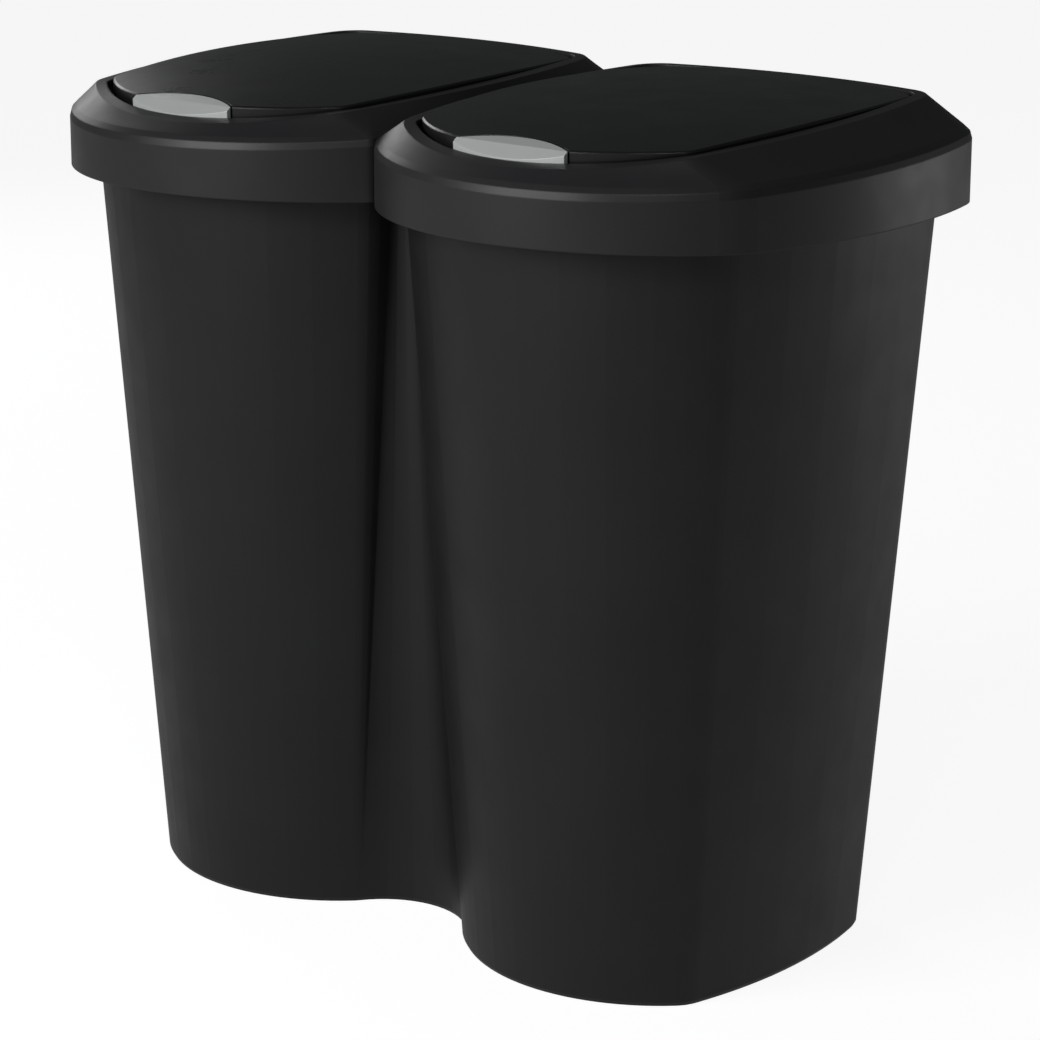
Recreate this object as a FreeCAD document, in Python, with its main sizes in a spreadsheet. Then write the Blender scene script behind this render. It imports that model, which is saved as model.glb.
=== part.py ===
import FreeCAD, Part
import math
import os
import re
from FreeCAD import Placement, Rotation, Vector

# Double recycling bin: one moulded tub of two lobes, and on each lobe a lid frame with a
# push-to-open flap. Millimetres, Z up, front towards -Y. The origin lies on the ground, in
# the middle of the width and depth. Everything on a lid is drawn about its lobe, whose
# middle is x = 0 and whose widest place is y = 0, and is then moved onto the right lobe.
# The left lid and all that it carries are mirror images.

doc = FreeCAD.newDocument("double_recycling_bin")
sheet = doc.addObject("Spreadsheet::Sheet", "sizes")

SIZES = (
    # lid outline, seen from above
    ("overall_width", 540.0, "both lids across"),
    ("half_width", 145.3, "lobe centre to the lid's side"),
    ("front_reach", 171.3, "widest place to the front"),
    ("back_reach", 146.0, "widest place to the back"),
    ("front_bend", 162.0, "radius of the front"),
    ("side_bend", 360.0, "radius of the sides"),
    ("back_bend", 500.0, "radius of the back"),
    ("front_corner", 50.0, "radius of the front corners"),
    ("back_corner", 48.0, "radius of the back corners"),
    ("seam_gap", 0.6, "between the two lids"),
    ("seam_corner", 8.0, "radius where a lid meets the seam"),
    # lid section
    ("skirt_bottom", 439.0, "height of the skirt's lower edge"),
    ("shoulder_height", 478.3, "height of the shoulder at the widest place"),
    ("shoulder_rise", 0.03, "rise of the shoulder towards the back, per mm"),
    ("shoulder_round", 8.0, "radius of the shoulder"),
    ("seam_lift", 3.0, "the shoulder's extra height along the seam"),
    ("lid_wall", 2.4, "thickness of the lid frame"),
    ("crest_width", 7.0, "nearly level strip beside the flap"),
    # mouth of the lid frame and the flap in it
    ("mouth_side_height", 494.9, "edge of the mouth at the widest place"),
    ("mouth_rise", 0.047, "rise of that edge towards the back, per mm"),
    ("mouth_front_height", 481.0, "bottom of the finger scoop at the front"),
    ("mouth_corner_height", 486.3, "edge of the mouth at its front corners"),
    ("flap_half_width", 107.8, "flap centre to its side"),
    ("flap_side_bend", 429.0, "radius of the flap's sides"),
    ("flap_front", 145.7, "widest place to the flap's front"),
    ("flap_front_bend", 133.4, "radius of the flap's front"),
    ("flap_back", 111.0, "widest place to the flap's back"),
    ("flap_back_bend", 400.0, "radius of the flap's back"),
    ("flap_front_corner", 12.0, "radius of its front corners"),
    ("flap_back_corner", 15.0, "radius of its back corners"),
    ("flap_wall", 2.2, "thickness of the flap"),
    ("flap_lip", 9.0, "depth of the flap's turned-down lip"),
    ("flap_edge_bevel", 0.9, "bevel along the flap's upper edge"),
    ("crown_height", 502.4, "top of the flap's crown"),
    ("crown_back", 55.0, "how far back the crown is highest"),
    ("crown_bend", 1400.0, "radius of the crown, both ways"),
    ("side_gap", 1.4, "flap to mouth at the sides"),
    ("front_gap", 3.6, "flap to mouth at the front, a finger scoop"),
    ("back_gap", 3.2, "flap to mouth at the back, room to swing"),
    ("collar_undercut", 1.0, "the collar stands back from the mouth's edge"),
    ("collar_wall", 1.8, "thickness of the collar"),
    ("collar_bottom", 462.0, "height of the collar's lower edge"),
    # tub
    ("rim_height", 470.0, "top of the tub's rim"),
    ("tub_inset_top", 17.7, "lid outline to the tub, at the skirt's edge"),
    ("tub_inset_base", 48.7, "lid outline to the tub, at the ground"),
    ("waist_base", 63.5, "widest place to the waist, at the ground"),
    ("waist_top", 84.0, "widest place to the waist, at the rim"),
    ("tub_wall", 2.4, "thickness of the tub"),
    ("partition", 2.8, "thickness of the wall between the cavities"),
    ("base_round", 2.5, "rounded lower edge of the tub"),
    ("floor_height", 8.0, "top of the tub's floor"),
    ("foot_height", 4.5, "depth of the hollow under the floor"),
    ("foot_width", 6.0, "width of the ring that the tub stands on"),
    ("rim_inset", 9.5, "lid outline to the rim's edge"),
    ("rim_waist", 97.0, "widest place to the rim's waist"),
    ("rim_thickness", 3.0, "thickness of the rim"),
    ("rim_lip", 10.0, "depth of the rim's turned-down lip"),
    ("divider_width", 12.0, "width of the rim on the partition"),
    ("seat_inset", 11.5, "lid outline to the wall that the lid stands on"),
    ("seat_wall", 2.2, "thickness of that wall"),
    # flap hinge
    ("hinge_y", 82.0, "hinge axis, behind the widest place"),
    ("hinge_z", 493.5, "height of the hinge axis"),
    ("hinge_pin_radius", 1.5, "hinge pin"),
    ("hinge_pin_start", 77.0, "inner end of the pin"),
    ("hinge_pin_end", 106.0, "outer end of the pin"),
    ("hinge_boss_radius", 3.2, "bosses round the pin"),
    ("hinge_boss_end", 107.0, "outer end of the frame's boss"),
    ("hinge_ear_start", 78.0, "inner face of the flap's ear"),
    ("hinge_ear_width", 2.4, "thickness of the flap's ear"),
    ("hinge_knuckle_start", 91.0, "inner end of the flap's outer boss"),
    ("hinge_spring_wire", 1.0, "wire of the torsion spring"),
    ("hinge_spring_radius", 2.5, "mean radius of its coil"),
    ("hinge_spring_start", 81.5, "inner end of its coil"),
    ("hinge_spring_pitch", 1.6, "from turn to turn"),
    ("hinge_spring_spread", 40.0, "angle between its legs, in degrees"),
    ("hinge_spring_lift", 2.4, "slope of the upper leg, up to the crown, in degrees"),
    ("hinge_spring_leg", 18.0, "length of the upper leg"),
    ("spring_peg", 12.0, "from the hinge axis along the lower leg to the peg that holds it"),
    ("peg_radius", 1.2, "that peg, on the frame's collar"),
    ("peg_end", 104.0, "outer end of the peg, in the collar"),
    # push button
    ("button_half_width", 38.8, "button centre to its end"),
    ("button_crease", 140.2, "widest place to the crease across the button"),
    ("button_crease_height", 487.7, "height of the crease"),
    ("button_back", 129.5, "widest place to the button's back"),
    ("button_back_bend", 75.0, "radius of its back edge"),
    ("button_back_height", 490.0, "height of its back edge"),
    ("button_front_height", 481.0, "height of its front edge"),
    ("button_bottom", 479.5, "lower edge of the button"),
    ("button_wall", 2.0, "thickness of the button"),
    ("button_gap", 0.6, "button to the deck in front of it"),
    ("button_flap_gap", 0.9, "button to the flap round it"),
    ("button_travel", 2.0, "how far the button goes down"),
    ("stem_x", 26.0, "button centre to its two guide stems"),
    ("stem_radius", 1.6, "guide stem"),
    ("stem_end", 461.5, "lower end of the stems"),
    ("stem_head_radius", 2.4, "snap head under the guide"),
    ("guide_bottom", 465.0, "lower face of the guide shelf"),
    ("guide_top", 467.4, "upper face of the guide shelf"),
    ("guide_outer", 33.0, "outer end of the guide shelf"),
    ("guide_reach", 3.0, "from the stems' middle to the back of the guide shelf"),
    ("guide_fit", 0.08, "running fit of stems and pins"),
    ("spring_seat", 482.0, "face of the button on its springs"),
    ("spring_radius", 2.5, "mean radius of the button's springs"),
    ("spring_wire", 0.6, "wire of the button's springs"),
    ("spring_turns", 4.0, "turns of the button's springs"),
    # latch, a bell crank between the button and the flap's tongue
    ("latch_half_width", 5.0, "half the width of the latch"),
    ("latch_pin_y", 131.0, "widest place to the latch pin, to the front"),
    ("latch_pin_z", 461.0, "height of the latch pin"),
    ("latch_pin_radius", 1.5, "latch pin"),
    ("latch_hub_radius", 3.2, "hub of the latch"),
    ("latch_arm", 16.0, "from the pin to the end of the front arm"),
    ("latch_thickness", 3.0, "thickness of both arms"),
    ("latch_nose_top", 476.2, "top of the nose"),
    ("latch_nose_height", 3.0, "height of the nose"),
    ("latch_nose_reach", 5.0, "from the pin to the tip of the nose"),
    ("latch_bite", 1.2, "how far the nose covers the flap's tongue"),
    ("tongue_gap", 0.2, "nose to tongue, and arm to its window"),
    ("tongue_width", 18.0, "width of the flap's tongue"),
    ("tongue_step", 3.2, "how far the ledge stands out from the tongue"),
    ("tongue_wall", 2.4, "thickness of the tongue and its ledge"),
    ("ear_gap", 7.0, "lobe centre to the ears that hold the latch pin"),
)
for row, (alias, value, meaning) in enumerate(SIZES, 1):
    sheet.set(f"A{row}", meaning)
    sheet.set(f"B{row}", str(value))
    sheet.setAlias(f"B{row}", alias)
doc.recompute()

ALIASES = [alias for alias, value, meaning in SIZES]


def size(alias):
    """The number in the cell with this alias."""
    return float(sheet.get(alias))


def bind(item, link, formula):
    """Binds one property to a formula of aliases."""
    item.setExpression(link, re.sub(r"[a-z_]+", lambda word: swap(word.group()), formula))


def swap(word):
    """An alias with its sheet in front, and any other word as it is."""
    return "sizes." + word if word in ALIASES else word


lobe_pitch = size("overall_width") / 2 - size("half_width")
widest_y = (size("front_reach") - size("back_reach")) / 2
LOBE_X = "overall_width / 2 - half_width"
LOBE_Y = "(front_reach - back_reach) / 2"

# ---------------------------------------------------------------- document objects


def feature(name, shape):
    """A shape made by Part's own functions from the sheet's sizes."""
    item = doc.addObject("Part::Feature", name)
    item.Shape = shape
    return item


def box(name, low, high):
    """A box between two corners, each given as three formulas."""
    item = doc.addObject("Part::Box", name)
    for axis, start in zip("xyz", low):
        bind(item, "Placement.Base." + axis, start)
    for link, start, end in zip(("Length", "Width", "Height"), low, high):
        bind(item, link, f"({end}) - ({start})")
    return item


def rod(name, axis, start, radius, length):
    """A cylinder along X or Z from a starting point."""
    item = doc.addObject("Part::Cylinder", name)
    if axis == "x":
        item.Placement = Placement(Vector(), Rotation(Vector(0, 1, 0), 90))
    for letter, place in zip("xyz", start):
        bind(item, "Placement.Base." + letter, place)
    bind(item, "Radius", radius)
    bind(item, "Height", length)
    return item


def fuse(name, *parts):
    item = doc.addObject("Part::MultiFuse", name)
    item.Shapes = list(parts)
    return item


def common(name, *parts):
    item = doc.addObject("Part::MultiCommon", name)
    item.Shapes = list(parts)
    return item


def cut(name, base, *tools):
    item = doc.addObject("Part::Cut", name)
    item.Base = base
    item.Tool = tools[0] if len(tools) == 1 else fuse(name + "_tools", *tools)
    return item


def onto_right_lobe(item):
    """Moves a finished piece from the lobe's own middle to the right lobe."""
    bind(item, "Placement.Base.x", LOBE_X)
    bind(item, "Placement.Base.y", LOBE_Y)
    return item


def onto_left_lobe(name, right):
    """The mirror image of a piece of the right lid."""
    item = doc.addObject("Part::Mirroring", name)
    item.Source = right
    item.Normal = Vector(1, 0, 0)
    return item


# ---------------------------------------------------------------- outlines of arcs
# An outline is a list of (start, middle, end) on round stretches and (start, None, end) on
# straight ones. Its corners are arcs that touch their neighbours from inside.


def touching(big, small):
    """Where a circle meets another that touches it from inside; circles are (x, y, radius)."""
    x, y = small[0] - big[0], small[1] - big[1]
    reach = big[2] / math.hypot(x, y)
    return (big[0] + x * reach, big[1] + y * reach)


def corner_circle(end, side, radius, towards):
    """The circle inside both an end's and the right side's circle, at the front or back."""
    first, second = end[2] - radius, side[2] - radius
    x, y = side[0] - end[0], side[1] - end[1]
    apart = math.hypot(x, y)
    along = (first ** 2 - second ** 2 + apart ** 2) / (2 * apart)
    across = math.sqrt(first ** 2 - along ** 2)
    x, y = x / apart, y / apart
    places = [(end[0] + along * x - turn * across * y, end[1] + along * y + turn * across * x)
              for turn in (1, -1)]
    place = max(places, key=lambda spot: towards * spot[1])
    return (place[0], place[1], radius)


def arc(circle, start, end, pieces=1):
    """The shorter arc of a circle between two of its points, in equal pieces."""
    x, y, radius = circle
    first = math.atan2(start[1] - y, start[0] - x)
    sweep = math.remainder(math.atan2(end[1] - y, end[0] - x) - first, 2 * math.pi)

    def spot(share):
        turn = first + sweep * share
        return (x + radius * math.cos(turn), y + radius * math.sin(turn))

    return [(spot(i / pieces), spot((i + 0.5) / pieces), spot((i + 1) / pieces))
            for i in range(pieces)]


def flip(point):
    return (-point[0], point[1])


def flipped(circle):
    return (-circle[0], circle[1], circle[2])


def grown(circle, growth):
    return (circle[0], circle[1], circle[2] + growth)


def wire(outline, height):
    """A closed wire over an outline, with its height at each place from a function."""
    def place(point):
        return Vector(point[0], point[1], height(point[0], point[1]))

    edges = []
    for start, middle, end in outline:
        if middle is None:
            edges.append(Part.makeLine(place(start), place(end)))
        else:
            edges.append(Part.Arc(place(start), place(middle), place(end)).toShape())
    return Part.Wire(edges)


def level(height):
    return lambda x, y: height


def prism(outline, bottom, top):
    """A straight-sided solid over an outline."""
    return Part.Face(wire(outline, level(bottom))).extrude(Vector(0, 0, top - bottom))


def lobe_circles(inset, offset=0.0):
    """Front, side and back circles of a lobe and its corners. The corners shrink at half the
    rate of the inset; an offset then moves the whole outline evenly inwards."""
    front = (0.0, size("front_bend") - size("front_reach"), size("front_bend") - inset)
    side = (size("half_width") - size("side_bend"), 0.0, size("side_bend") - inset)
    back = (0.0, size("back_reach") - size("back_bend"), size("back_bend") - inset)
    front_corner = corner_circle(front, side, size("front_corner") - inset / 2, -1)
    back_corner = corner_circle(back, side, size("back_corner") - inset / 2, 1)
    circles = (front, front_corner, side, back_corner, back)
    return [grown(circle, -offset) for circle in circles]


def joins(circles):
    """The four places where the circles of an outline pass into each other."""
    front, front_corner, side, back_corner, back = circles
    return (touching(front, front_corner), touching(side, front_corner),
            touching(side, back_corner), touching(back, back_corner))


def seam_round(corner, seam_x, radius, towards):
    """The small circle between a lid's corner and the straight seam on its left."""
    x = seam_x + radius
    reach = corner[2] - radius
    return (x, corner[1] + towards * math.sqrt(reach ** 2 - (x - corner[0]) ** 2), radius)


def lid_outline(inset):
    """A lobe cut off straight at the seam, in ten stretches from the front, anticlockwise."""
    front, front_corner, side, back_corner, back = circles = lobe_circles(inset)
    one, two, three, four = joins(circles)
    seam_x = size("seam_gap") / 2 - lobe_pitch + inset
    radius = size("seam_corner") - inset / 2
    front_left, back_left = flipped(front_corner), flipped(back_corner)
    front_seam = seam_round(front_left, seam_x, radius, -1)
    back_seam = seam_round(back_left, seam_x, radius, 1)
    back_turn = touching(back_left, back_seam)
    front_turn = touching(front_left, front_seam)
    back_end = (seam_x, back_seam[1])
    front_end = (seam_x, front_seam[1])
    return (arc(front, flip(one), one) + arc(front_corner, one, two) + arc(side, two, three)
            + arc(back_corner, three, four) + arc(back, four, flip(four))
            + arc(back_left, flip(four), back_turn) + arc(back_seam, back_turn, back_end)
            + [(back_end, None, front_end)]
            + arc(front_seam, front_end, front_turn) + arc(front_left, front_turn, flip(one)))


def lobe_outline(inset):
    """A whole lobe, as if there were no seam."""
    front, front_corner, side, back_corner, back = circles = lobe_circles(inset)
    one, two, three, four = joins(circles)
    return (arc(front, flip(one), one) + arc(front_corner, one, two) + arc(side, two, three)
            + arc(back_corner, three, four) + arc(back, four, flip(four))
            + arc(flipped(back_corner), flip(four), flip(three))
            + arc(flipped(side), flip(three), flip(two))
            + arc(flipped(front_corner), flip(two), flip(one)))


FLAP_WIDEST = -2.75     # the flap is widest a little in front of the lobe's widest place
SIDE_SPLIT = 12.0       # end stretches of the mouth's left side, opposite the seam's corners


def flap_circles(side_gap, front_gap, back_gap, growth=0.0):
    """The flap's own circles, or those of the mouth when the gaps are added."""
    side = (size("flap_half_width") - size("flap_side_bend"), FLAP_WIDEST,
            size("flap_side_bend") + side_gap + growth)
    front = (0.0, size("flap_front_bend") - size("flap_front"),
             size("flap_front_bend") + front_gap + growth)
    back = (0.0, size("flap_back") - size("flap_back_bend"),
            size("flap_back_bend") + back_gap + growth)
    front_radius = size("flap_front_corner") + side_gap + growth
    back_radius = size("flap_back_corner") + side_gap + growth
    return [front, corner_circle(front, side, front_radius, -1), side,
            corner_circle(back, side, back_radius, 1), back]


def flap_outline(growth=0.0):
    """The flap, its long sides in several arcs, which keeps the faces of its bevel short."""
    front, front_corner, side, back_corner, back = circles = flap_circles(0.0, 0.0, 0.0, growth)
    one, two, three, four = joins(circles)
    return (arc(front, flip(one), one, 8) + arc(front_corner, one, two) + arc(side, two, three, 6)
            + arc(back_corner, three, four) + arc(back, four, flip(four), 6)
            + arc(flipped(back_corner), flip(four), flip(three))
            + arc(flipped(side), flip(three), flip(two), 6)
            + arc(flipped(front_corner), flip(two), flip(one)))


def mouth_outline(growth=0.0):
    """The mouth, in the same ten stretches as the lid: its left side has three."""
    front, front_corner, side, back_corner, back = circles = flap_circles(
        size("side_gap"), size("front_gap"), size("back_gap"), growth)
    one, two, three, four = joins(circles)

    def left_side(y):
        return (-side[0] - math.sqrt(side[2] ** 2 - (y - side[1]) ** 2), y)

    left = flipped(side)
    upper, lower = left_side(three[1] - SIDE_SPLIT), left_side(two[1] + SIDE_SPLIT)
    return (arc(front, flip(one), one) + arc(front_corner, one, two) + arc(side, two, three)
            + arc(back_corner, three, four) + arc(back, four, flip(four))
            + arc(flipped(back_corner), flip(four), flip(three)) + arc(left, flip(three), upper)
            + arc(left, upper, lower) + arc(left, lower, flip(two))
            + arc(flipped(front_corner), flip(two), flip(one)))


def half_tub_outline(inset, waist, offset=0.0, wall=0.0):
    """The right half of the tub from the front waist round to the back waist, closed along
    the wall between the cavities when that has a thickness. The waist lies as far past the
    middle of the corner behind as in front. Long arcs come in several pieces, which keeps the
    faces of the leaning wall narrow."""
    plain = lobe_circles(inset)
    past = waist + plain[1][1]
    front, front_corner, side, back_corner, back = circles = lobe_circles(inset, offset)
    one, two, three, four = joins(circles)
    waists = []
    for corner, towards in ((plain[1], -1), (plain[3], 1)):
        across = lobe_pitch - corner[0]
        radius = (across ** 2 + past ** 2 - corner[2] ** 2) / (2 * (corner[2] - past))
        y = corner[1] + towards * (past + radius)
        hollow = (-lobe_pitch, y, radius + offset)
        left = grown(flipped(corner), -offset)
        x, far = left[0] - hollow[0], math.hypot(left[0] - hollow[0], left[1] - hollow[1])
        meet = (hollow[0] + x * hollow[2] / far, y + (left[1] - y) * hollow[2] / far)
        end = (wall / 2 - lobe_pitch, y - towards * math.sqrt(hollow[2] ** 2 - wall ** 2 / 4))
        waists.append((hollow, left, meet, end))
    (front_hollow, front_left, front_meet, front_end) = waists[0]
    (back_hollow, back_left, back_meet, back_end) = waists[1]
    outline = (arc(front_hollow, front_end, front_meet, 3) + arc(front_left, front_meet, flip(one), 3)
               + arc(front, flip(one), one, 9) + arc(front_corner, one, two, 4)
               + arc(side, two, three, 5)
               + arc(back_corner, three, four, 4) + arc(back, four, flip(four), 4)
               + arc(back_left, flip(four), back_meet, 3)
               + arc(back_hollow, back_meet, back_end, 3))
    if wall:
        outline.append((back_end, None, front_end))
    return outline


def tub_wire(inset, waist, height, offset=0.0, wall=0.0):
    """The tub's figure-eight outline about the object's own middle, or that of the right
    cavity alone where the wall between the cavities has a thickness."""
    right = [tuple(spot and (spot[0] + lobe_pitch, spot[1] + widest_y) for spot in stretch)
             for stretch in half_tub_outline(inset, waist, offset, wall)]
    left = [tuple(spot and flip(spot) for spot in reversed(stretch))
            for stretch in reversed(right)]
    return wire(right if wall else right + left, level(height))


# ---------------------------------------------------------------- tub


def tub_inset(height):
    """Lid outline to the tub: the walls lean out evenly from the ground up."""
    lean = (size("tub_inset_base") - size("tub_inset_top")) / size("skirt_bottom")
    return size("tub_inset_base") - lean * height


def tub_waist(height):
    share = height / size("rim_height")
    return size("waist_base") + (size("waist_top") - size("waist_base")) * share


rim = size("rim_height")
base_round = size("base_round")
tub_walls = feature("tub_walls", Part.makeLoft([
    tub_wire(tub_inset(0), tub_waist(0), 0, base_round / 2),
    tub_wire(tub_inset(base_round), tub_waist(base_round), base_round),
    tub_wire(tub_inset(rim), tub_waist(rim), rim)], True, True))

rim_lip_bottom = rim - size("rim_lip")
rim_plate = feature("rim_plate", Part.Face(
    tub_wire(size("rim_inset"), size("rim_waist"), rim_lip_bottom)).extrude(
    Vector(0, 0, size("rim_lip"))))
rim_hollow = feature("rim_hollow", Part.Face(
    tub_wire(size("rim_inset"), size("rim_waist"), rim_lip_bottom - 1, size("tub_wall"))).extrude(
    Vector(0, 0, size("rim_lip") + 1 - size("rim_thickness"))))
rim_band = cut("rim_band", rim_plate, rim_hollow)

cavity_bottom = size("floor_height")
cavity_top = rim + 1
right_cavity = feature("right_cavity", Part.makeLoft([
    tub_wire(tub_inset(height), tub_waist(height), height, size("tub_wall"), size("partition"))
    for height in (cavity_bottom, cavity_top)], True, True))
left_cavity = onto_left_lobe("left_cavity", right_cavity)
right_foot = feature("right_foot", Part.Face(
    tub_wire(tub_inset(0), tub_waist(0), -1, size("foot_width"), 3 * size("foot_width"))).extrude(
    Vector(0, 0, size("foot_height") + 1)))
left_foot = onto_left_lobe("left_foot", right_foot)
tub_block = fuse("tub_block", tub_walls, rim_band)
tub_shell = cut("tub_shell", tub_block, right_cavity, left_cavity, right_foot, left_foot)
divider = box("divider", ("-divider_width / 2", LOBE_Y + " - waist_top + tub_wall",
                          "rim_height - rim_thickness"),
              ("divider_width / 2", LOBE_Y + " + waist_top * back_reach / front_reach - tub_wall",
               "rim_height"))
tub = fuse("tub", tub_shell, divider)

# ---------------------------------------------------------------- lid frame
# Rings of ten stretches each, from the skirt's edge over the shoulder and the deck to the
# mouth, joined by ruled faces. The hollow is the same stack, moved in and down by the wall.

PLUG_TOP = 520.0            # above everything; the mouth is cut through the plug between
FRONT_SCOOP = 50.0          # depth over which the deck falls away to the finger scoop
FLAT_FROM = 60.0            # the mouth's sides are straight as far forward as this
SIDE_FALL = 0.0019          # and curve down from there, per square mm
CREST_FALL = 0.6            # the strip beside the flap falls this much outwards at the sides
CREST_FRONT_FALL = 2.0      # and this much more at the very front


def shoulder(x, y):
    """Height of the shoulder, which climbs a little in the corners next to the seam."""
    corner_x = lobe_circles(0)[1][0]
    along = (-x - corner_x) / (lobe_pitch - corner_x)
    share = min(max(along, 0.0), 1.0)
    return size("shoulder_height") + size("shoulder_rise") * y + size("seam_lift") * share ** 2


def mouth_edge(x, y):
    """Height of the deck at the mouth: a gentle climb to the back, a scoop in the front."""
    past = max(-y - FLAT_FROM, 0.0)
    side = size("mouth_side_height") + size("mouth_rise") * y - SIDE_FALL * past ** 2
    corner_x = flap_circles(size("side_gap"), size("front_gap"), size("back_gap"))[1][0]
    scoop = (size("mouth_corner_height") - size("mouth_front_height")) * (x / corner_x) ** 2
    return max(side, size("mouth_front_height") + scoop)


def crest(x, y):
    """Height of the strip's outer edge: nearly level at the sides, sloping at the front."""
    share = min(max((-y - 2 * FRONT_SCOOP) / FRONT_SCOOP, 0.0), 1.0)
    return mouth_edge(x, y) - CREST_FALL - CREST_FRONT_FALL * share


def lid_stack(wall, bottom, mouth_inset, turns):
    """The lid's outer form, or the hollow inside it when a wall is given. The shoulder's
    rounding passes through rings at these turns, in degrees."""
    radius = size("shoulder_round")
    start = radius * math.sin(math.radians(60))

    def ring(degrees):
        turn = math.radians(degrees)
        inset = radius * (1 - math.cos(turn))
        rise = radius * math.sin(turn) - start
        return wire(lid_outline(wall + inset), lambda x, y: shoulder(x, y) + rise - wall)

    return Part.makeLoft([wire(lid_outline(wall), level(bottom))] + [ring(turn) for turn in turns] + [
        wire(mouth_outline(size("crest_width") - wall / 2), lambda x, y: crest(x, y) - wall),
        wire(mouth_outline(-mouth_inset), lambda x, y: mouth_edge(x, y) - wall),
        wire(mouth_outline(-mouth_inset), level(PLUG_TOP))], True, True)


def ring_wall(outer, inner, bottom):
    return prism(outer, bottom, PLUG_TOP).cut(prism(inner, bottom - 1, PLUG_TOP + 1))


lid_wall = size("lid_wall")
lid_body = feature("lid_body", lid_stack(0.0, size("skirt_bottom"), 1.0, (0, 30, 60)))
lid_inside = feature("lid_inside", lid_stack(lid_wall, size("skirt_bottom") - 1, 3.0, (0, 60)))
collar = feature("collar", ring_wall(
    mouth_outline(size("collar_undercut") + size("collar_wall")),
    mouth_outline(size("collar_undercut")), size("collar_bottom")))
seat = feature("seat", ring_wall(
    lobe_outline(size("seat_inset")), lobe_outline(size("seat_inset") + size("seat_wall")), rim))
mouth = feature("mouth", prism(mouth_outline(), size("guide_top") + 5, PLUG_TOP + 1))

# The frame's hinge bosses, with the pins' holes, at both back corners of the mouth.
FRAME_BOSS_START = "hinge_knuckle_start + 3"
right_boss = rod("right_boss", "x", (FRAME_BOSS_START, "hinge_y", "hinge_z"),
                 "hinge_boss_radius", "hinge_boss_end - (" + FRAME_BOSS_START + ")")
left_boss = onto_left_lobe("left_boss", right_boss)
right_bore = rod("right_bore", "x", ("hinge_pin_start", "hinge_y", "hinge_z"),
                 "hinge_pin_radius", "hinge_pin_end - hinge_pin_start")
left_bore = onto_left_lobe("left_bore", right_bore)

# A peg under each hinge, on which the lower leg of the torsion spring bears.
LEG_SLOPE = "((hinge_spring_spread - hinge_spring_lift) * 1 deg)"
PEG_DROP = "(hinge_spring_radius + hinge_spring_wire / 2 + peg_radius)"
right_peg = rod("right_peg", "x",
                ("hinge_spring_start - 1",
                 f"hinge_y + {PEG_DROP} * sin{LEG_SLOPE} - spring_peg * cos{LEG_SLOPE}",
                 f"hinge_z - {PEG_DROP} * cos{LEG_SLOPE} - spring_peg * sin{LEG_SLOPE}"),
                "peg_radius", "peg_end + 1 - hinge_spring_start")
left_peg = onto_left_lobe("left_peg", right_peg)

# Two guide shelves for the button's stems, each with an ear for the latch pin.
SHELF_FRONT = "-flap_front - front_gap - collar_undercut - collar_wall / 2"
right_shelf = box("right_shelf", ("ear_gap", SHELF_FRONT, "guide_bottom"),
                  ("guide_outer", "-button_crease + guide_reach", "guide_top"))
left_shelf = onto_left_lobe("left_shelf", right_shelf)
right_ear = box("right_ear", ("ear_gap", SHELF_FRONT, "latch_pin_z - latch_hub_radius"),
                ("ear_gap + tongue_wall", "-latch_pin_y + latch_hub_radius", "guide_top"))
left_ear = onto_left_lobe("left_ear", right_ear)
right_hole = rod("right_hole", "z", ("stem_x", "-button_crease", "guide_bottom - 1"),
                 "stem_radius + guide_fit", "guide_top - guide_bottom + 2")
left_hole = onto_left_lobe("left_hole", right_hole)
latch_bore = rod("latch_bore", "x", ("-ear_gap - 2 * tongue_wall", "-latch_pin_y", "latch_pin_z"),
                 "latch_pin_radius", "2 * ear_gap + 4 * tongue_wall")

shelf_limit = feature("shelf_limit", prism(
    mouth_outline(size("collar_undercut") + size("collar_wall") / 2), rim - 30, rim))
shelves = common("shelves", fuse("shelf_parts", right_shelf, left_shelf, right_ear, left_ear),
                 shelf_limit)

lid_hollow = cut("lid_hollow", lid_inside, collar, seat, right_boss, left_boss,
                 right_peg, left_peg, shelves)
# Along the seam the wall ends on the tub's rim, so that the rim passes under both lids.
seam_notch = box("seam_notch", ("-overall_width / 2", "-rim_waist - 2", "skirt_bottom - 1"),
                 ("half_width - overall_width / 2 + lid_wall * 2",
                  "rim_waist + 7", "rim_height"))
lid_frame_right = onto_right_lobe(cut(
    "lid_frame_right", lid_body, lid_hollow, mouth, seam_notch, right_bore, left_bore,
    right_hole, left_hole, latch_bore))
lid_frame_left = onto_left_lobe("lid_frame_left", lid_frame_right)

# ---------------------------------------------------------------- flap
# A crowned shell: its outline under a large ball, less a smaller ball inside a smaller outline.

FLAP_LOW = 470.0            # below the whole flap


def crown(name, below):
    """The ball of the flap's crown, its surface lowered by a formula. Its poles lie in front
    and behind, away from the flap."""
    item = doc.addObject("Part::Sphere", name)
    item.Placement = Placement(Vector(), Rotation(Vector(1, 0, 0), 90))
    bind(item, "Radius", "crown_bend - (" + below + ")")
    bind(item, "Placement.Base.y", "crown_back")
    bind(item, "Placement.Base.z", "crown_height - crown_bend")
    return item


flap_solid = common("flap_solid", feature("flap_prism", prism(flap_outline(), FLAP_LOW, PLUG_TOP)),
                    crown("top_ball", "0"))
doc.recompute()
crown_faces = [face for face in flap_solid.Shape.Faces if isinstance(face.Surface, Part.Sphere)]
flap_block = feature("flap_block", flap_solid.Shape.makeChamfer(
    size("flap_edge_bevel"), [edge for face in crown_faces for edge in face.Edges]))
under_crown = common("under_crown", feature("under_prism", prism(
    flap_outline(-size("flap_wall")), FLAP_LOW - 1, PLUG_TOP)), crown("inner_ball", "flap_wall"))

BUTTON_BEND_Y = "-button_back - button_back_bend"


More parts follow.
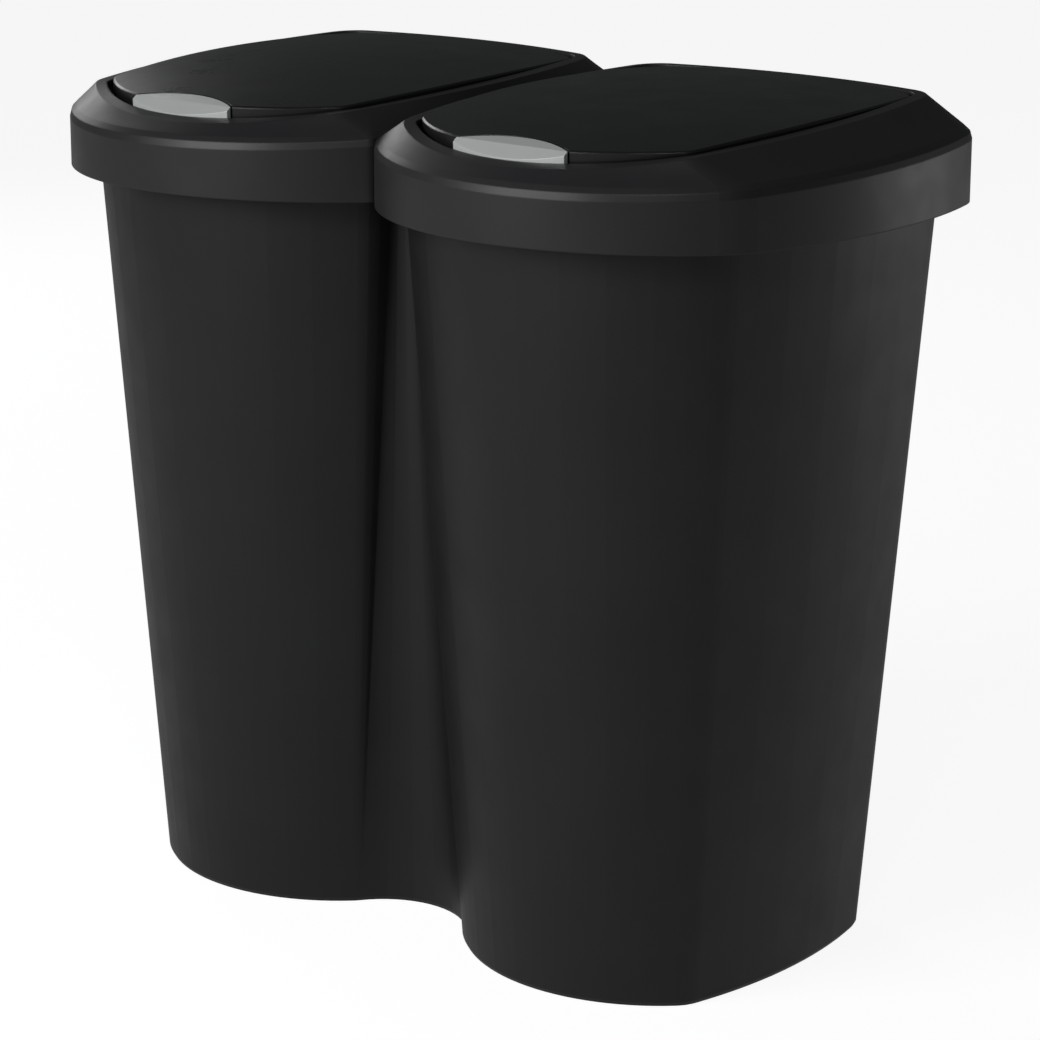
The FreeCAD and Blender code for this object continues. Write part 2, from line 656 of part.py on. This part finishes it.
def button_space(name, growth):
    """The space of the button in the flap's front: round behind, straight at the ends."""
    return common(
        name,
        rod(name + "_round", "z", ("0", BUTTON_BEND_Y, "collar_bottom"),
            "button_back_bend + " + growth, "crown_height - collar_bottom"),
        box(name + "_ends", ("-button_half_width - (" + growth + ")", "-front_reach", "collar_bottom"),
            ("button_half_width + " + growth, "0", "crown_height")))


flap_hollow = cut("flap_hollow", under_crown, button_space("notch_lip", "button_flap_gap + flap_wall"))
flap_notch = button_space("flap_notch", "button_flap_gap")
flap_shell = cut("flap_shell", flap_block, crown("lip_ball", "flap_lip"), flap_hollow, flap_notch)

# What hangs under the crown: the latch tongue, and at each back corner an ear and a knuckle.
TONGUE_Y = "-latch_pin_y + latch_nose_reach - latch_bite + tongue_step"
LEDGE_TOP = "latch_nose_top - latch_nose_height - tongue_gap"
tongue = box("tongue", ("-tongue_width / 2", TONGUE_Y, LEDGE_TOP + " - tongue_wall"),
             ("tongue_width / 2", TONGUE_Y + " + tongue_wall", "crown_height"))
ledge = box("ledge", ("-latch_half_width - 1", TONGUE_Y + " - tongue_step", LEDGE_TOP + " - tongue_wall"),
            ("latch_half_width + 1", TONGUE_Y + " + 1", LEDGE_TOP))
right_plate = box("right_plate", ("hinge_ear_start", "hinge_y - 1.5 * hinge_boss_radius",
                                  "hinge_z - hinge_boss_radius"),
                  ("hinge_ear_start + hinge_ear_width", "hinge_y + 1.5 * hinge_boss_radius",
                   "crown_height"))
left_plate = onto_left_lobe("left_plate", right_plate)
right_knuckle = rod("right_knuckle", "x", ("hinge_knuckle_start", "hinge_y", "hinge_z"),
                    "hinge_boss_radius", "flap_half_width - hinge_knuckle_start")
left_knuckle = onto_left_lobe("left_knuckle", right_knuckle)
hangers = common("hangers", fuse("hanger_parts", tongue, ledge, right_plate, left_plate,
                                 right_knuckle, left_knuckle),
                 crown("hanger_ball", "flap_wall / 2"),
                 feature("hanger_limit", prism(flap_outline(-size("flap_wall") / 2),
                                               size("collar_bottom"), PLUG_TOP)))
flap_whole = fuse("flap_whole", flap_shell, hangers)
right_eye = rod("right_eye", "x", ("hinge_pin_start - 1", "hinge_y", "hinge_z"),
                "hinge_pin_radius + guide_fit", "hinge_boss_end - hinge_pin_start")
left_eye = onto_left_lobe("left_eye", right_eye)
flap_right = onto_right_lobe(cut("flap_right", flap_whole, right_eye, left_eye))
flap_left = onto_left_lobe("flap_left", flap_right)

# ---------------------------------------------------------------- flap hinge
# Steel pins in the frame's bosses, and a torsion spring on each.

outer_pin = rod("outer_pin", "x", ("hinge_pin_start", "hinge_y", "hinge_z"),
                "hinge_pin_radius", "hinge_pin_end - hinge_pin_start")
inner_pin = onto_left_lobe("inner_pin", outer_pin)

TURN_SIDES = 10         # a turn of wire is drawn in this many straight lengths
WIRE_SIDES = 6          # and the wire itself with this many sides


def turns_of(radius, pitch, turns):
    """Places along a coil about Z, the first on the X axis at z = 0."""
    steps = round(turns * TURN_SIDES)
    places = []
    for step in range(steps + 1):
        turn = 2 * math.pi * turns * step / steps
        places.append(Vector(radius * math.cos(turn), radius * math.sin(turn),
                             pitch * turns * step / steps))
    return places


def wire_along(places, thick):
    """One unbroken wire along straight lengths."""
    start = places[0]
    along = (places[1] - start).normalize()
    across = along.cross(Vector(0, 0, 1)).normalize()
    over = across.cross(along)
    ring = []
    for side in range(WIRE_SIDES + 1):
        turn = 2 * math.pi * side / WIRE_SIDES
        ring.append(start + (across * math.cos(turn) + over * math.sin(turn)) * (thick / 2))
    mitred = 1
    return Part.makePolygon(places).makePipeShell([Part.makePolygon(ring)], True, False, mitred)


def torsion_spring():
    """A coil whose two legs leave it straight: the lower one down to its peg on the frame,
    the upper one forward under the crown. The half turn puts both legs in front."""
    turns = 3.5 - size("hinge_spring_spread") / 360
    places = turns_of(size("hinge_spring_radius"), size("hinge_spring_pitch"), turns)
    turn = 2 * math.pi * turns
    lower_end = places[0] - Vector(0, size("spring_peg") + size("hinge_spring_wire"), 0)
    upper_end = places[-1] + Vector(-math.sin(turn), math.cos(turn), 0) * size("hinge_spring_leg")
    return wire_along([lower_end] + places + [upper_end], size("hinge_spring_wire"))


# Turned so that the coil's axis is the hinge axis and the upper leg has its slope.
spring_turn = Rotation(Vector(1, 0, 0), size("hinge_spring_spread") - size("hinge_spring_lift")) * (
    Rotation(Vector(0, 1, 0), 90))
outer_spring = feature("outer_spring", torsion_spring())
outer_spring.Placement = Placement(Vector(), spring_turn)
bind(outer_spring, "Placement.Base.x", "hinge_spring_start")
bind(outer_spring, "Placement.Base.y", "hinge_y")
bind(outer_spring, "Placement.Base.z", "hinge_z")
inner_spring = onto_left_lobe("inner_spring", outer_spring)

# ---------------------------------------------------------------- push button


def wedge(bottom, inset):
    """All that lies under the button's two facets between its ends, down to a level."""
    front_y = -size("front_reach")
    profile = [Vector(0, front_y, bottom),
               Vector(0, front_y, front_slope(front_y) - inset),
               Vector(0, -size("button_crease"), size("button_crease_height") - inset),
               Vector(0, 0, back_slope(0.0) - inset), Vector(0, 0, bottom)]
    half = size("button_half_width") - inset
    solid = Part.Face(Part.makePolygon(profile + profile[:1])).extrude(Vector(2 * half, 0, 0))
    solid.translate(Vector(-half, 0, 0))
    return solid


def front_slope(y):
    """Height of the facet in front of the crease."""
    front_edge = size("flap_front") + size("front_gap")
    fall = (size("button_crease_height") - size("button_front_height")) / (
        front_edge - size("button_crease"))
    return size("button_crease_height") + fall * (y + size("button_crease"))


def back_slope(y):
    """Height of the facet behind the crease."""
    rise = (size("button_back_height") - size("button_crease_height")) / (
        size("button_crease") - size("button_back"))
    return size("button_crease_height") + rise * (y + size("button_crease"))


def lens(name, inset):
    """The button's form between its two round edges and its ends, or the hollow under it."""
    front_y = size("flap_front_bend") - size("flap_front")
    front_radius = size("flap_front_bend") + size("front_gap") - size("button_gap") - inset
    back_y = -size("button_back") - size("button_back_bend")
    low = size("button_bottom") - inset
    height = size("crown_height") - low
    front = Part.makeCylinder(front_radius, height, Vector(0, front_y, low))
    back = Part.makeCylinder(size("button_back_bend") - inset, height, Vector(0, back_y, low))
    return feature(name, wedge(low, inset).common([front]).common([back]))


cap = cut("cap", lens("button_form", 0.0), lens("button_hollow", size("button_wall")))
right_stem = rod("right_stem", "z", ("stem_x", "-button_crease", "stem_end"), "stem_radius",
                 "button_crease_height - button_wall / 2 - stem_end")
right_head = rod("right_head", "z", ("stem_x", "-button_crease", "stem_end"), "stem_head_radius",
                 "guide_bottom - stem_end")
right_seat = rod("right_seat", "z", ("stem_x", "-button_crease", "spring_seat"),
                 "spring_radius + spring_wire",
                 "button_crease_height - button_wall / 2 - spring_seat")
left_stem = onto_left_lobe("left_stem", right_stem)
left_head = onto_left_lobe("left_head", right_head)
left_seat = onto_left_lobe("left_seat", right_seat)

# A rib in the middle reaches down to the latch, whose front arm rides in its window.
ARM_END = "-latch_pin_y - latch_arm"
ARM_TOP = "latch_pin_z + latch_thickness / 2"
rib = box("rib", ("-latch_half_width", ARM_END, "latch_pin_z - 2 * latch_thickness"),
          ("latch_half_width", ARM_END + " + latch_thickness", "button_crease_height"))
window = box("window", ("-latch_half_width / 2 - tongue_gap", ARM_END + " - 1",
                        "latch_pin_z - latch_thickness / 2 - tongue_gap"),
             ("latch_half_width / 2 + tongue_gap", ARM_END + " + 2 * latch_thickness",
              ARM_TOP + " + tongue_gap"))
inner_parts = cut("inner_parts", fuse("inner_solids", right_stem, left_stem, right_seat,
                                      left_seat, rib), window)

# They end inside the button's wall.
trimmed = common("trimmed", inner_parts, feature(
    "button_roof", wedge(size("skirt_bottom"), size("button_wall") / 2)))
button_right = onto_right_lobe(fuse("button_right", cap, trimmed, right_head, left_head))
button_left = onto_left_lobe("button_left", button_right)

# Two wound springs round the stems, between the guide shelf and the button.


def button_spring():
    thick = size("spring_wire")
    length = size("spring_seat") - size("guide_top") - thick
    turns = size("spring_turns")
    return wire_along(turns_of(size("spring_radius"), length / turns, turns), thick)


right_coil = feature("right_coil", button_spring())
bind(right_coil, "Placement.Base.x", "stem_x")
bind(right_coil, "Placement.Base.y", "-button_crease")
bind(right_coil, "Placement.Base.z", "guide_top + spring_wire / 2")
left_coil = onto_left_lobe("left_coil", right_coil)

# ---------------------------------------------------------------- latch
# The bell crank: its front arm ends in the button's window, its nose covers the flap's tongue.

hub = rod("hub", "x", ("-latch_half_width", "-latch_pin_y", "latch_pin_z"),
          "latch_hub_radius", "2 * latch_half_width")
arm = box("arm", ("-latch_half_width / 2", ARM_END + " + tongue_gap",
                  "latch_pin_z - latch_thickness / 2"),
          ("latch_half_width / 2", "-latch_pin_y", ARM_TOP))
upright = box("upright", ("-latch_half_width", "-latch_pin_y - latch_thickness / 2", "latch_pin_z"),
              ("latch_half_width", "-latch_pin_y + latch_thickness / 2", "latch_nose_top"))
nose = box("nose", ("-latch_half_width", "-latch_pin_y", "latch_nose_top - latch_nose_height"),
           ("latch_half_width", "-latch_pin_y + latch_nose_reach", "latch_nose_top"))
latch_eye = rod("latch_eye", "x", ("-latch_half_width - 1", "-latch_pin_y", "latch_pin_z"),
                "latch_pin_radius + guide_fit", "2 * latch_half_width + 2")
latch_right = onto_right_lobe(cut("latch_right", fuse("latch_arms", hub, arm, upright, nose),
                                  latch_eye))
latch_left = onto_left_lobe("latch_left", latch_right)
latch_pin = rod("latch_pin", "x", ("-ear_gap - 1.5 * tongue_wall", "-latch_pin_y", "latch_pin_z"),
                "latch_pin_radius", "2 * ear_gap + 3 * tongue_wall")

# ---------------------------------------------------------------- the nodes
# Pins and springs drawn about the lobe get a placed copy for the right lid and a mirrored one.

nodes = [tub, lid_frame_right, lid_frame_left, flap_right, flap_left, button_right, button_left,
         latch_right, latch_left]
for source, piece in ((outer_pin, "outer_hinge_pin"), (inner_pin, "inner_hinge_pin"),
                      (outer_spring, "outer_hinge_spring"), (inner_spring, "inner_hinge_spring"),
                      (right_coil, "outer_button_spring"), (left_coil, "inner_button_spring"),
                      (latch_pin, "latch_pin")):
    right = doc.addObject("Part::Compound", piece + "_right")
    right.Links = [source]
    nodes += [onto_right_lobe(right), onto_left_lobe(piece + "_left", right)]
doc.recompute()

for item in doc.Objects:
    if "Invalid" in item.State or "Error" in item.State:
        raise RuntimeError(f"{item.Name} failed: {item.State}")

os.makedirs("parts", exist_ok=True)
for node in nodes:
    node.Label = node.Name
    if node.Shape.isNull() or not node.Shape.isValid():
        raise RuntimeError(f"{node.Label} has no valid shape")
    node.Shape.exportStep(f"parts/{node.Label}.step")
    print(node.Label, len(node.Shape.Solids), round(node.Shape.Volume), node.Shape.BoundBox)
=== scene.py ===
import bpy
import math
from mathutils import Matrix, Vector


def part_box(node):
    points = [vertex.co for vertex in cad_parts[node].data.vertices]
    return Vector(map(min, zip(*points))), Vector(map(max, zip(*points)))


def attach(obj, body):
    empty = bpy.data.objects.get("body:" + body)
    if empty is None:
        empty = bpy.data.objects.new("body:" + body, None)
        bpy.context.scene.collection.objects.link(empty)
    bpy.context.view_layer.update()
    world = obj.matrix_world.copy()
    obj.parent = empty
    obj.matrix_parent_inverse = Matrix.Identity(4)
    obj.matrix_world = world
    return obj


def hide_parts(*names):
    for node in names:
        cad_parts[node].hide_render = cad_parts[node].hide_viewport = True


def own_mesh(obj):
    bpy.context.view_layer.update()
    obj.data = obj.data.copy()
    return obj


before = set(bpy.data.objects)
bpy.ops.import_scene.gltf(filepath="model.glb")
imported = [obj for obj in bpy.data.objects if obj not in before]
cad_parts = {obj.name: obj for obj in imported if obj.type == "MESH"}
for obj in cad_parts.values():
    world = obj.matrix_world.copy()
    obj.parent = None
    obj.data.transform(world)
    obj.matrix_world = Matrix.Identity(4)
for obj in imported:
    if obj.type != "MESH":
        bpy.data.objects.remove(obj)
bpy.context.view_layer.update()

# ---------------------------------------------------------------- tub
# One injection-moulded tub of dark grey polypropylene with two lobes and a waist between them.
# The fine grain of a spark-eroded mould makes it matt, with a broad and soft sheen.


def linear(code):
    """A linear colour with full alpha from an sRGB hex code."""
    parts = [int(code[i:i + 2], 16) / 255 for i in (1, 3, 5)]
    return [c / 12.92 if c <= 0.04045 else ((c + 0.055) / 1.055) ** 2.4 for c in parts] + [1.0]


def add(tree, kind, settings=None, links=None, **values):
    """A node with attributes from settings, sources for inputs from links, and input values."""
    node = tree.nodes.new(kind)
    for name, value in (settings or {}).items():
        setattr(node, name, value)
    for name, value in values.items():
        node.inputs[name.replace("_", " ")].default_value = value
    for name, source in (links or {}).items():
        tree.links.new(source, node.inputs[name])
    return node


CLOUDS_PER_M = 11.0     # pigment drifts over about a hand's width
SMUDGES_PER_M = 34.0    # handling shows in patches of about 30 mm
GLOSS_SPREAD = 0.04


def moulded(name, colour, variation, roughness, grain_mm, grain_depth_mm, edge_mm):
    """Moulded plastic: cloudy pigment, uneven gloss, the mould's grain and rounded edges."""
    material = bpy.data.materials.new(name)
    material.use_nodes = True
    tree = material.node_tree
    shader = tree.nodes["Principled BSDF"]
    place = add(tree, "ShaderNodeTexCoord").outputs["Object"]

    cloud = add(tree, "ShaderNodeTexNoise", links={"Vector": place}, Scale=CLOUDS_PER_M, Detail=4.0)
    pigment = add(tree, "ShaderNodeValToRGB", links={"Fac": cloud.outputs["Fac"]})
    stops = pigment.color_ramp.elements
    for stop, position, code in zip(stops, (0.35, 0.68), (colour, variation)):
        stop.position = position
        stop.color = linear(code)
    tree.links.new(pigment.outputs["Color"], shader.inputs["Base Color"])

    # hands and cloths have polished it unevenly
    smudge = add(tree, "ShaderNodeTexNoise", links={"Vector": place}, Scale=SMUDGES_PER_M, Detail=6.0)
    gloss = add(tree, "ShaderNodeMapRange", links={"Value": smudge.outputs["Fac"]},
                From_Min=0.3, From_Max=0.7,
                To_Min=roughness - GLOSS_SPREAD, To_Max=roughness + GLOSS_SPREAD)
    tree.links.new(gloss.outputs["Result"], shader.inputs["Roughness"])

    # the mould's grain, two to a cell of the noise, on normals that round the edges
    rounded = add(tree, "ShaderNodeBevel", {"samples": 6}, Radius=edge_mm / 1000)
    grain = add(tree, "ShaderNodeTexNoise", links={"Vector": place}, Scale=500 / grain_mm, Detail=3.0)
    bump = add(tree, "ShaderNodeBump", links={"Height": grain.outputs["Fac"],
                                              "Normal": rounded.outputs["Normal"]},
               Distance=grain_depth_mm / 1000)
    tree.links.new(bump.outputs["Normal"], shader.inputs["Normal"])
    return material


def dress(node, material):
    """Gives a CAD node one material all over."""
    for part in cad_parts[node].material_slots:
        part.material = material


matt_polypropylene = moulded("matt_moulded_polypropylene", "#171718", "#1B1C1D", roughness=0.46,
                             grain_mm=1.1, grain_depth_mm=0.012, edge_mm=0.8)
dress("tub", matt_polypropylene)

# ---------------------------------------------------------------- lid frames
# Two separate mouldings that stand on the tub's rim, each with a skirt, a rounded shoulder and
# a sloping deck round the mouth. The same polypropylene from a smoother mould, so its sheen is a
# little tighter. Its colour is a shade lighter than the tub's: painted light, for the skirts that
# catch more light than the tub in shade beneath them.

SIDES = ("right", "left")
# painted light: a lighter copy of the tub's colours, for skirts lit more than the shaded tub under
# them
satin_polypropylene_painted_lighter = moulded("satin_moulded_polypropylene_painted_lighter", "#29292B", "#2D2D2F", roughness=0.42,
                              grain_mm=0.9, grain_depth_mm=0.008, edge_mm=1.2)
for side in SIDES:
    dress(f"lid_frame_{side}", satin_polypropylene_painted_lighter)

# ---------------------------------------------------------------- flaps
# Crowned flaps of the same plastic, polished in the mould, so they look almost black. They
# carry a turned-down lip, the latch's tongue and the ears of the hinge, all in one moulding.

glossy_polypropylene = moulded("glossy_moulded_polypropylene", "#161716", "#1A1B1A", roughness=0.30,
                               grain_mm=2.2, grain_depth_mm=0.004, edge_mm=0.8)
for side in SIDES:
    dress(f"flap_{side}", glossy_polypropylene)

# ---------------------------------------------------------------- push buttons
# Lens-shaped buttons of moulded ABS, sprayed with silver lacquer, with a crease across the
# middle. The lacquer is smooth and a little metallic, and pale from every side.

silver_lacquer = moulded("silver_lacquer_on_abs", "#D6DAD8", "#DEE2E0", roughness=0.36,
                         grain_mm=0.4, grain_depth_mm=0.003, edge_mm=0.5)
silver_lacquer.node_tree.nodes["Principled BSDF"].inputs["Metallic"].default_value = 0.2
for side in SIDES:
    dress(f"button_{side}", silver_lacquer)

# ---------------------------------------------------------------- latches
# The bell cranks between the buttons and the flaps' tongues, moulded in black acetal. They run
# on their pins without oil, and have acetal's dull and waxy surface.

black_acetal = moulded("black_moulded_acetal", "#242425", "#29292A", roughness=0.5,
                       grain_mm=0.8, grain_depth_mm=0.006, edge_mm=0.4)
for side in SIDES:
    dress(f"latch_{side}", black_acetal)

# ---------------------------------------------------------------- pins
# Pins of the hinges and latches, cut from bright drawn steel rod and pressed into the lids. The
# drawing leaves fine marks along them, and handling a thin film of oil.

BLOTCHES_PER_M = 160.0
MARKS_PER_M = 120.0
MARK_DEPTH = 0.000004


def drawn_steel(name, colour, variation, roughness):
    """Drawn steel: faint blotches of oil, and marks that run along X with the pins."""
    material = bpy.data.materials.new(name)
    material.use_nodes = True
    tree = material.node_tree
    shader = tree.nodes["Principled BSDF"]
    shader.inputs["Metallic"].default_value = 1.0
    place = add(tree, "ShaderNodeTexCoord").outputs["Object"]
    oil = add(tree, "ShaderNodeTexNoise", links={"Vector": place}, Scale=BLOTCHES_PER_M, Detail=3.0)
    film = add(tree, "ShaderNodeValToRGB", links={"Fac": oil.outputs["Fac"]})
    for stop, code in zip(film.color_ramp.elements, (colour, variation)):
        stop.color = linear(code)
    tree.links.new(film.outputs["Color"], shader.inputs["Base Color"])
    stretched = add(tree, "ShaderNodeMapping", links={"Vector": place}, Scale=(1.0, 30.0, 30.0))
    marks = add(tree, "ShaderNodeTexNoise", links={"Vector": stretched.outputs["Vector"]},
                Scale=MARKS_PER_M, Detail=4.0)
    gloss = add(tree, "ShaderNodeMapRange", links={"Value": marks.outputs["Fac"]},
                To_Min=roughness - 0.08, To_Max=roughness + 0.12)
    tree.links.new(gloss.outputs["Result"], shader.inputs["Roughness"])
    bump = add(tree, "ShaderNodeBump", links={"Height": marks.outputs["Fac"]}, Distance=MARK_DEPTH)
    tree.links.new(bump.outputs["Normal"], shader.inputs["Normal"])
    return material


bright_steel = drawn_steel("bright_drawn_steel", "#8A8C8E", "#A2A4A6", roughness=0.28)
for side in SIDES:
    for pin in ("outer_hinge_pin", "inner_hinge_pin", "latch_pin"):
        dress(f"{pin}_{side}", bright_steel)

# ---------------------------------------------------------------- springs
# Springs wound from round oil-tempered wire, darker than the pins. The torsion springs on the
# hinge pins keep the CAD's mesh. The compression springs round the stems of the buttons are wound
# here, to fill their CAD boxes.

spring_wire = drawn_steel("oil_tempered_spring_wire", "#6E7072", "#8E9092", roughness=0.33)
WIRE = 0.0006           # thickness of the button springs' wire
TURNS = 4
STEPS = 16              # points to a turn
for side in SIDES:
    for which in ("outer", "inner"):
        dress(f"{which}_hinge_spring_{side}", spring_wire)
        node = f"{which}_button_spring_{side}"
        low, high = (Vector(corner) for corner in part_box(node))
        middle = (low + high) / 2
        radius = (high.y - low.y - WIRE) / 2
        coil = bpy.data.curves.new(f"{node}_wire", "CURVE")
        coil.dimensions = "3D"
        coil.bevel_depth = WIRE / 2
        coil.bevel_resolution = 3
        coil.resolution_u = 2
        coil.use_fill_caps = True
        line = coil.splines.new("NURBS")
        line.points.add(TURNS * STEPS)
        line.order_u = 3
        line.use_endpoint_u = True
        for step, point in enumerate(line.points):
            angle = 2 * math.pi * step / STEPS
            rise = (high.z - low.z - 2 * WIRE) * step / (TURNS * STEPS)
            point.co = (middle.x + radius * math.cos(angle), middle.y + radius * math.sin(angle),
                        low.z + WIRE + rise, 1.0)
        coil.materials.append(spring_wire)
        former = bpy.data.objects.new("coil", coil)
        spring = bpy.data.objects.new(f"{node}_wire", bpy.data.meshes.new_from_object(former))
        bpy.data.objects.remove(former)
        bpy.context.collection.objects.link(spring)
        spring.data.shade_smooth()
        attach(spring, f"lid_{side}")
        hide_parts(node)
        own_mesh(spring)

# ---------------------------------------------------------------- floor and background
# White paper under and behind the bin. The camera sees it white, with a trace of shadow. The
# glossy plastic mirrors it dimly, and it throws little light on the bin.

REACH = 6.0
CAMERA_GLOW = 0.90
MIRRORED_GLOW = 0.28
ROOM_GLOW = 0.06
corners = [(-REACH, -REACH, 0), (REACH, -REACH, 0), (REACH, REACH, 0), (-REACH, REACH, 0)]
floor_mesh = bpy.data.meshes.new("paper_floor")
floor_mesh.from_pydata(corners, [], [(0, 1, 2, 3)])
floor = bpy.data.objects.new("paper_floor", floor_mesh)
bpy.context.collection.objects.link(floor)
paper = bpy.data.materials.new("white_paper")
paper.use_nodes = True
tree = paper.node_tree
fibres = tree.nodes["Principled BSDF"]
fibres.inputs["Base Color"].default_value = linear("#8C8D8E")
fibres.inputs["Roughness"].default_value = 0.9
fibres.inputs["Specular IOR Level"].default_value = 0.1
rays = add(tree, "ShaderNodeLightPath").outputs
mirrored = add(tree, "ShaderNodeMath", {"operation": "MULTIPLY"})
tree.links.new(rays["Is Glossy Ray"], mirrored.inputs[0])
mirrored.inputs[1].default_value = MIRRORED_GLOW
whole = add(tree, "ShaderNodeMath", {"operation": "MULTIPLY_ADD"})
tree.links.new(rays["Is Camera Ray"], whole.inputs[0])
whole.inputs[1].default_value = CAMERA_GLOW
tree.links.new(mirrored.outputs[0], whole.inputs[2])
glow = add(tree, "ShaderNodeEmission", links={"Strength": whole.outputs[0]}, Color=linear("#FFFFFF"))
lit_paper = add(tree, "ShaderNodeAddShader")
tree.links.new(fibres.outputs[0], lit_paper.inputs[0])
tree.links.new(glow.outputs[0], lit_paper.inputs[1])
tree.links.new(lit_paper.outputs[0], tree.nodes["Material Output"].inputs["Surface"])
floor_mesh.materials.append(paper)

world = bpy.data.worlds.new("white_studio")
bpy.context.scene.world = world
world.use_nodes = True
tree = world.node_tree
tree.nodes.clear()
seen = add(tree, "ShaderNodeLightPath").outputs["Is Camera Ray"]
room = add(tree, "ShaderNodeBackground", Color=linear("#E8ECEF"), Strength=ROOM_GLOW)
white = add(tree, "ShaderNodeBackground", Color=linear("#FFFFFF"), Strength=1.0)
sky = add(tree, "ShaderNodeMixShader")
tree.links.new(seen, sky.inputs[0])
tree.links.new(room.outputs[0], sky.inputs[1])
tree.links.new(white.outputs[0], sky.inputs[2])
tree.links.new(sky.outputs[0], add(tree, "ShaderNodeOutputWorld").inputs["Surface"])
bpy.context.scene.view_settings.view_transform = "Standard"

# ---------------------------------------------------------------- lights
# Soft boxes round the bin: the key in front, a small one for the shoulders, a weak one behind
# that rims the right side, and one behind on the left for the sheen of the flaps and slopes.

MIDDLE = Vector((0.0, 0.01265, 0.25))
STAND_OFF = 2.6


def softbox(name, azimuth, elevation, width, height, power):
    """A soft rectangular light that faces the bin; azimuth 0 is in front and 90 on the right."""
    lamp = bpy.data.lights.new(name, "AREA")
    lamp.shape = "RECTANGLE"
    lamp.size = width
    lamp.size_y = height
    lamp.energy = power
    holder = bpy.data.objects.new(name, lamp)
    bpy.context.collection.objects.link(holder)
    turn, tilt = math.radians(azimuth), math.radians(elevation)
    way = Vector((math.sin(turn) * math.cos(tilt), -math.cos(turn) * math.cos(tilt), math.sin(tilt)))
    holder.location = MIDDLE + way * STAND_OFF
    holder.rotation_euler = way.to_track_quat("Z", "Y").to_euler()


softbox("key_light", -15, 26, 1.6, 1.2, 32)
softbox("shoulder_light", 38, 42, 0.5, 0.5, 6)
softbox("rim_light", 150, -4, 0.8, 0.6, 4)
softbox("sheen_light", -110, 20, 1.2, 0.6, 7)

# ---------------------------------------------------------------- camera
# The photograph's view: to the right of the front and above, with a trace of roll. It aims at
# the bin's middle from DISTANCE and is then moved sideways in its own plane.

AZIMUTH = math.radians(39.456)
ELEVATION = math.radians(14.864)
ROLL = math.radians(0.388)
DISTANCE = 2.0315
SIDE_STEP = 0.0402
DOWN_STEP = 0.0158
FOCAL_PX = 3366.7
CENTRE_PX = (571.2, 515.6)
PHOTO_PX = 1040
SENSOR_MM = 36.0

back = Vector((math.sin(AZIMUTH) * math.cos(ELEVATION), -math.cos(AZIMUTH) * math.cos(ELEVATION),
               math.sin(ELEVATION)))
right = Vector((math.cos(AZIMUTH), math.sin(AZIMUTH), 0.0))
up = back.cross(right)
rolled_right = right * math.cos(ROLL) + up * math.sin(ROLL)
rolled_up = up * math.cos(ROLL) - right * math.sin(ROLL)
spot = MIDDLE + back * DISTANCE + rolled_right * SIDE_STEP - rolled_up * DOWN_STEP
lens = bpy.data.cameras.new("photo_camera")
lens.sensor_width = SENSOR_MM
lens.lens = FOCAL_PX * SENSOR_MM / PHOTO_PX
lens.shift_x = (PHOTO_PX / 2 - CENTRE_PX[0]) / PHOTO_PX
lens.shift_y = (CENTRE_PX[1] - PHOTO_PX / 2) / PHOTO_PX
camera = bpy.data.objects.new("photo_camera", lens)
bpy.context.collection.objects.link(camera)
camera.matrix_world = Matrix.Translation(spot) @ Matrix(
    (rolled_right, rolled_up, back)).transposed().to_4x4()
bpy.context.scene.camera = camera
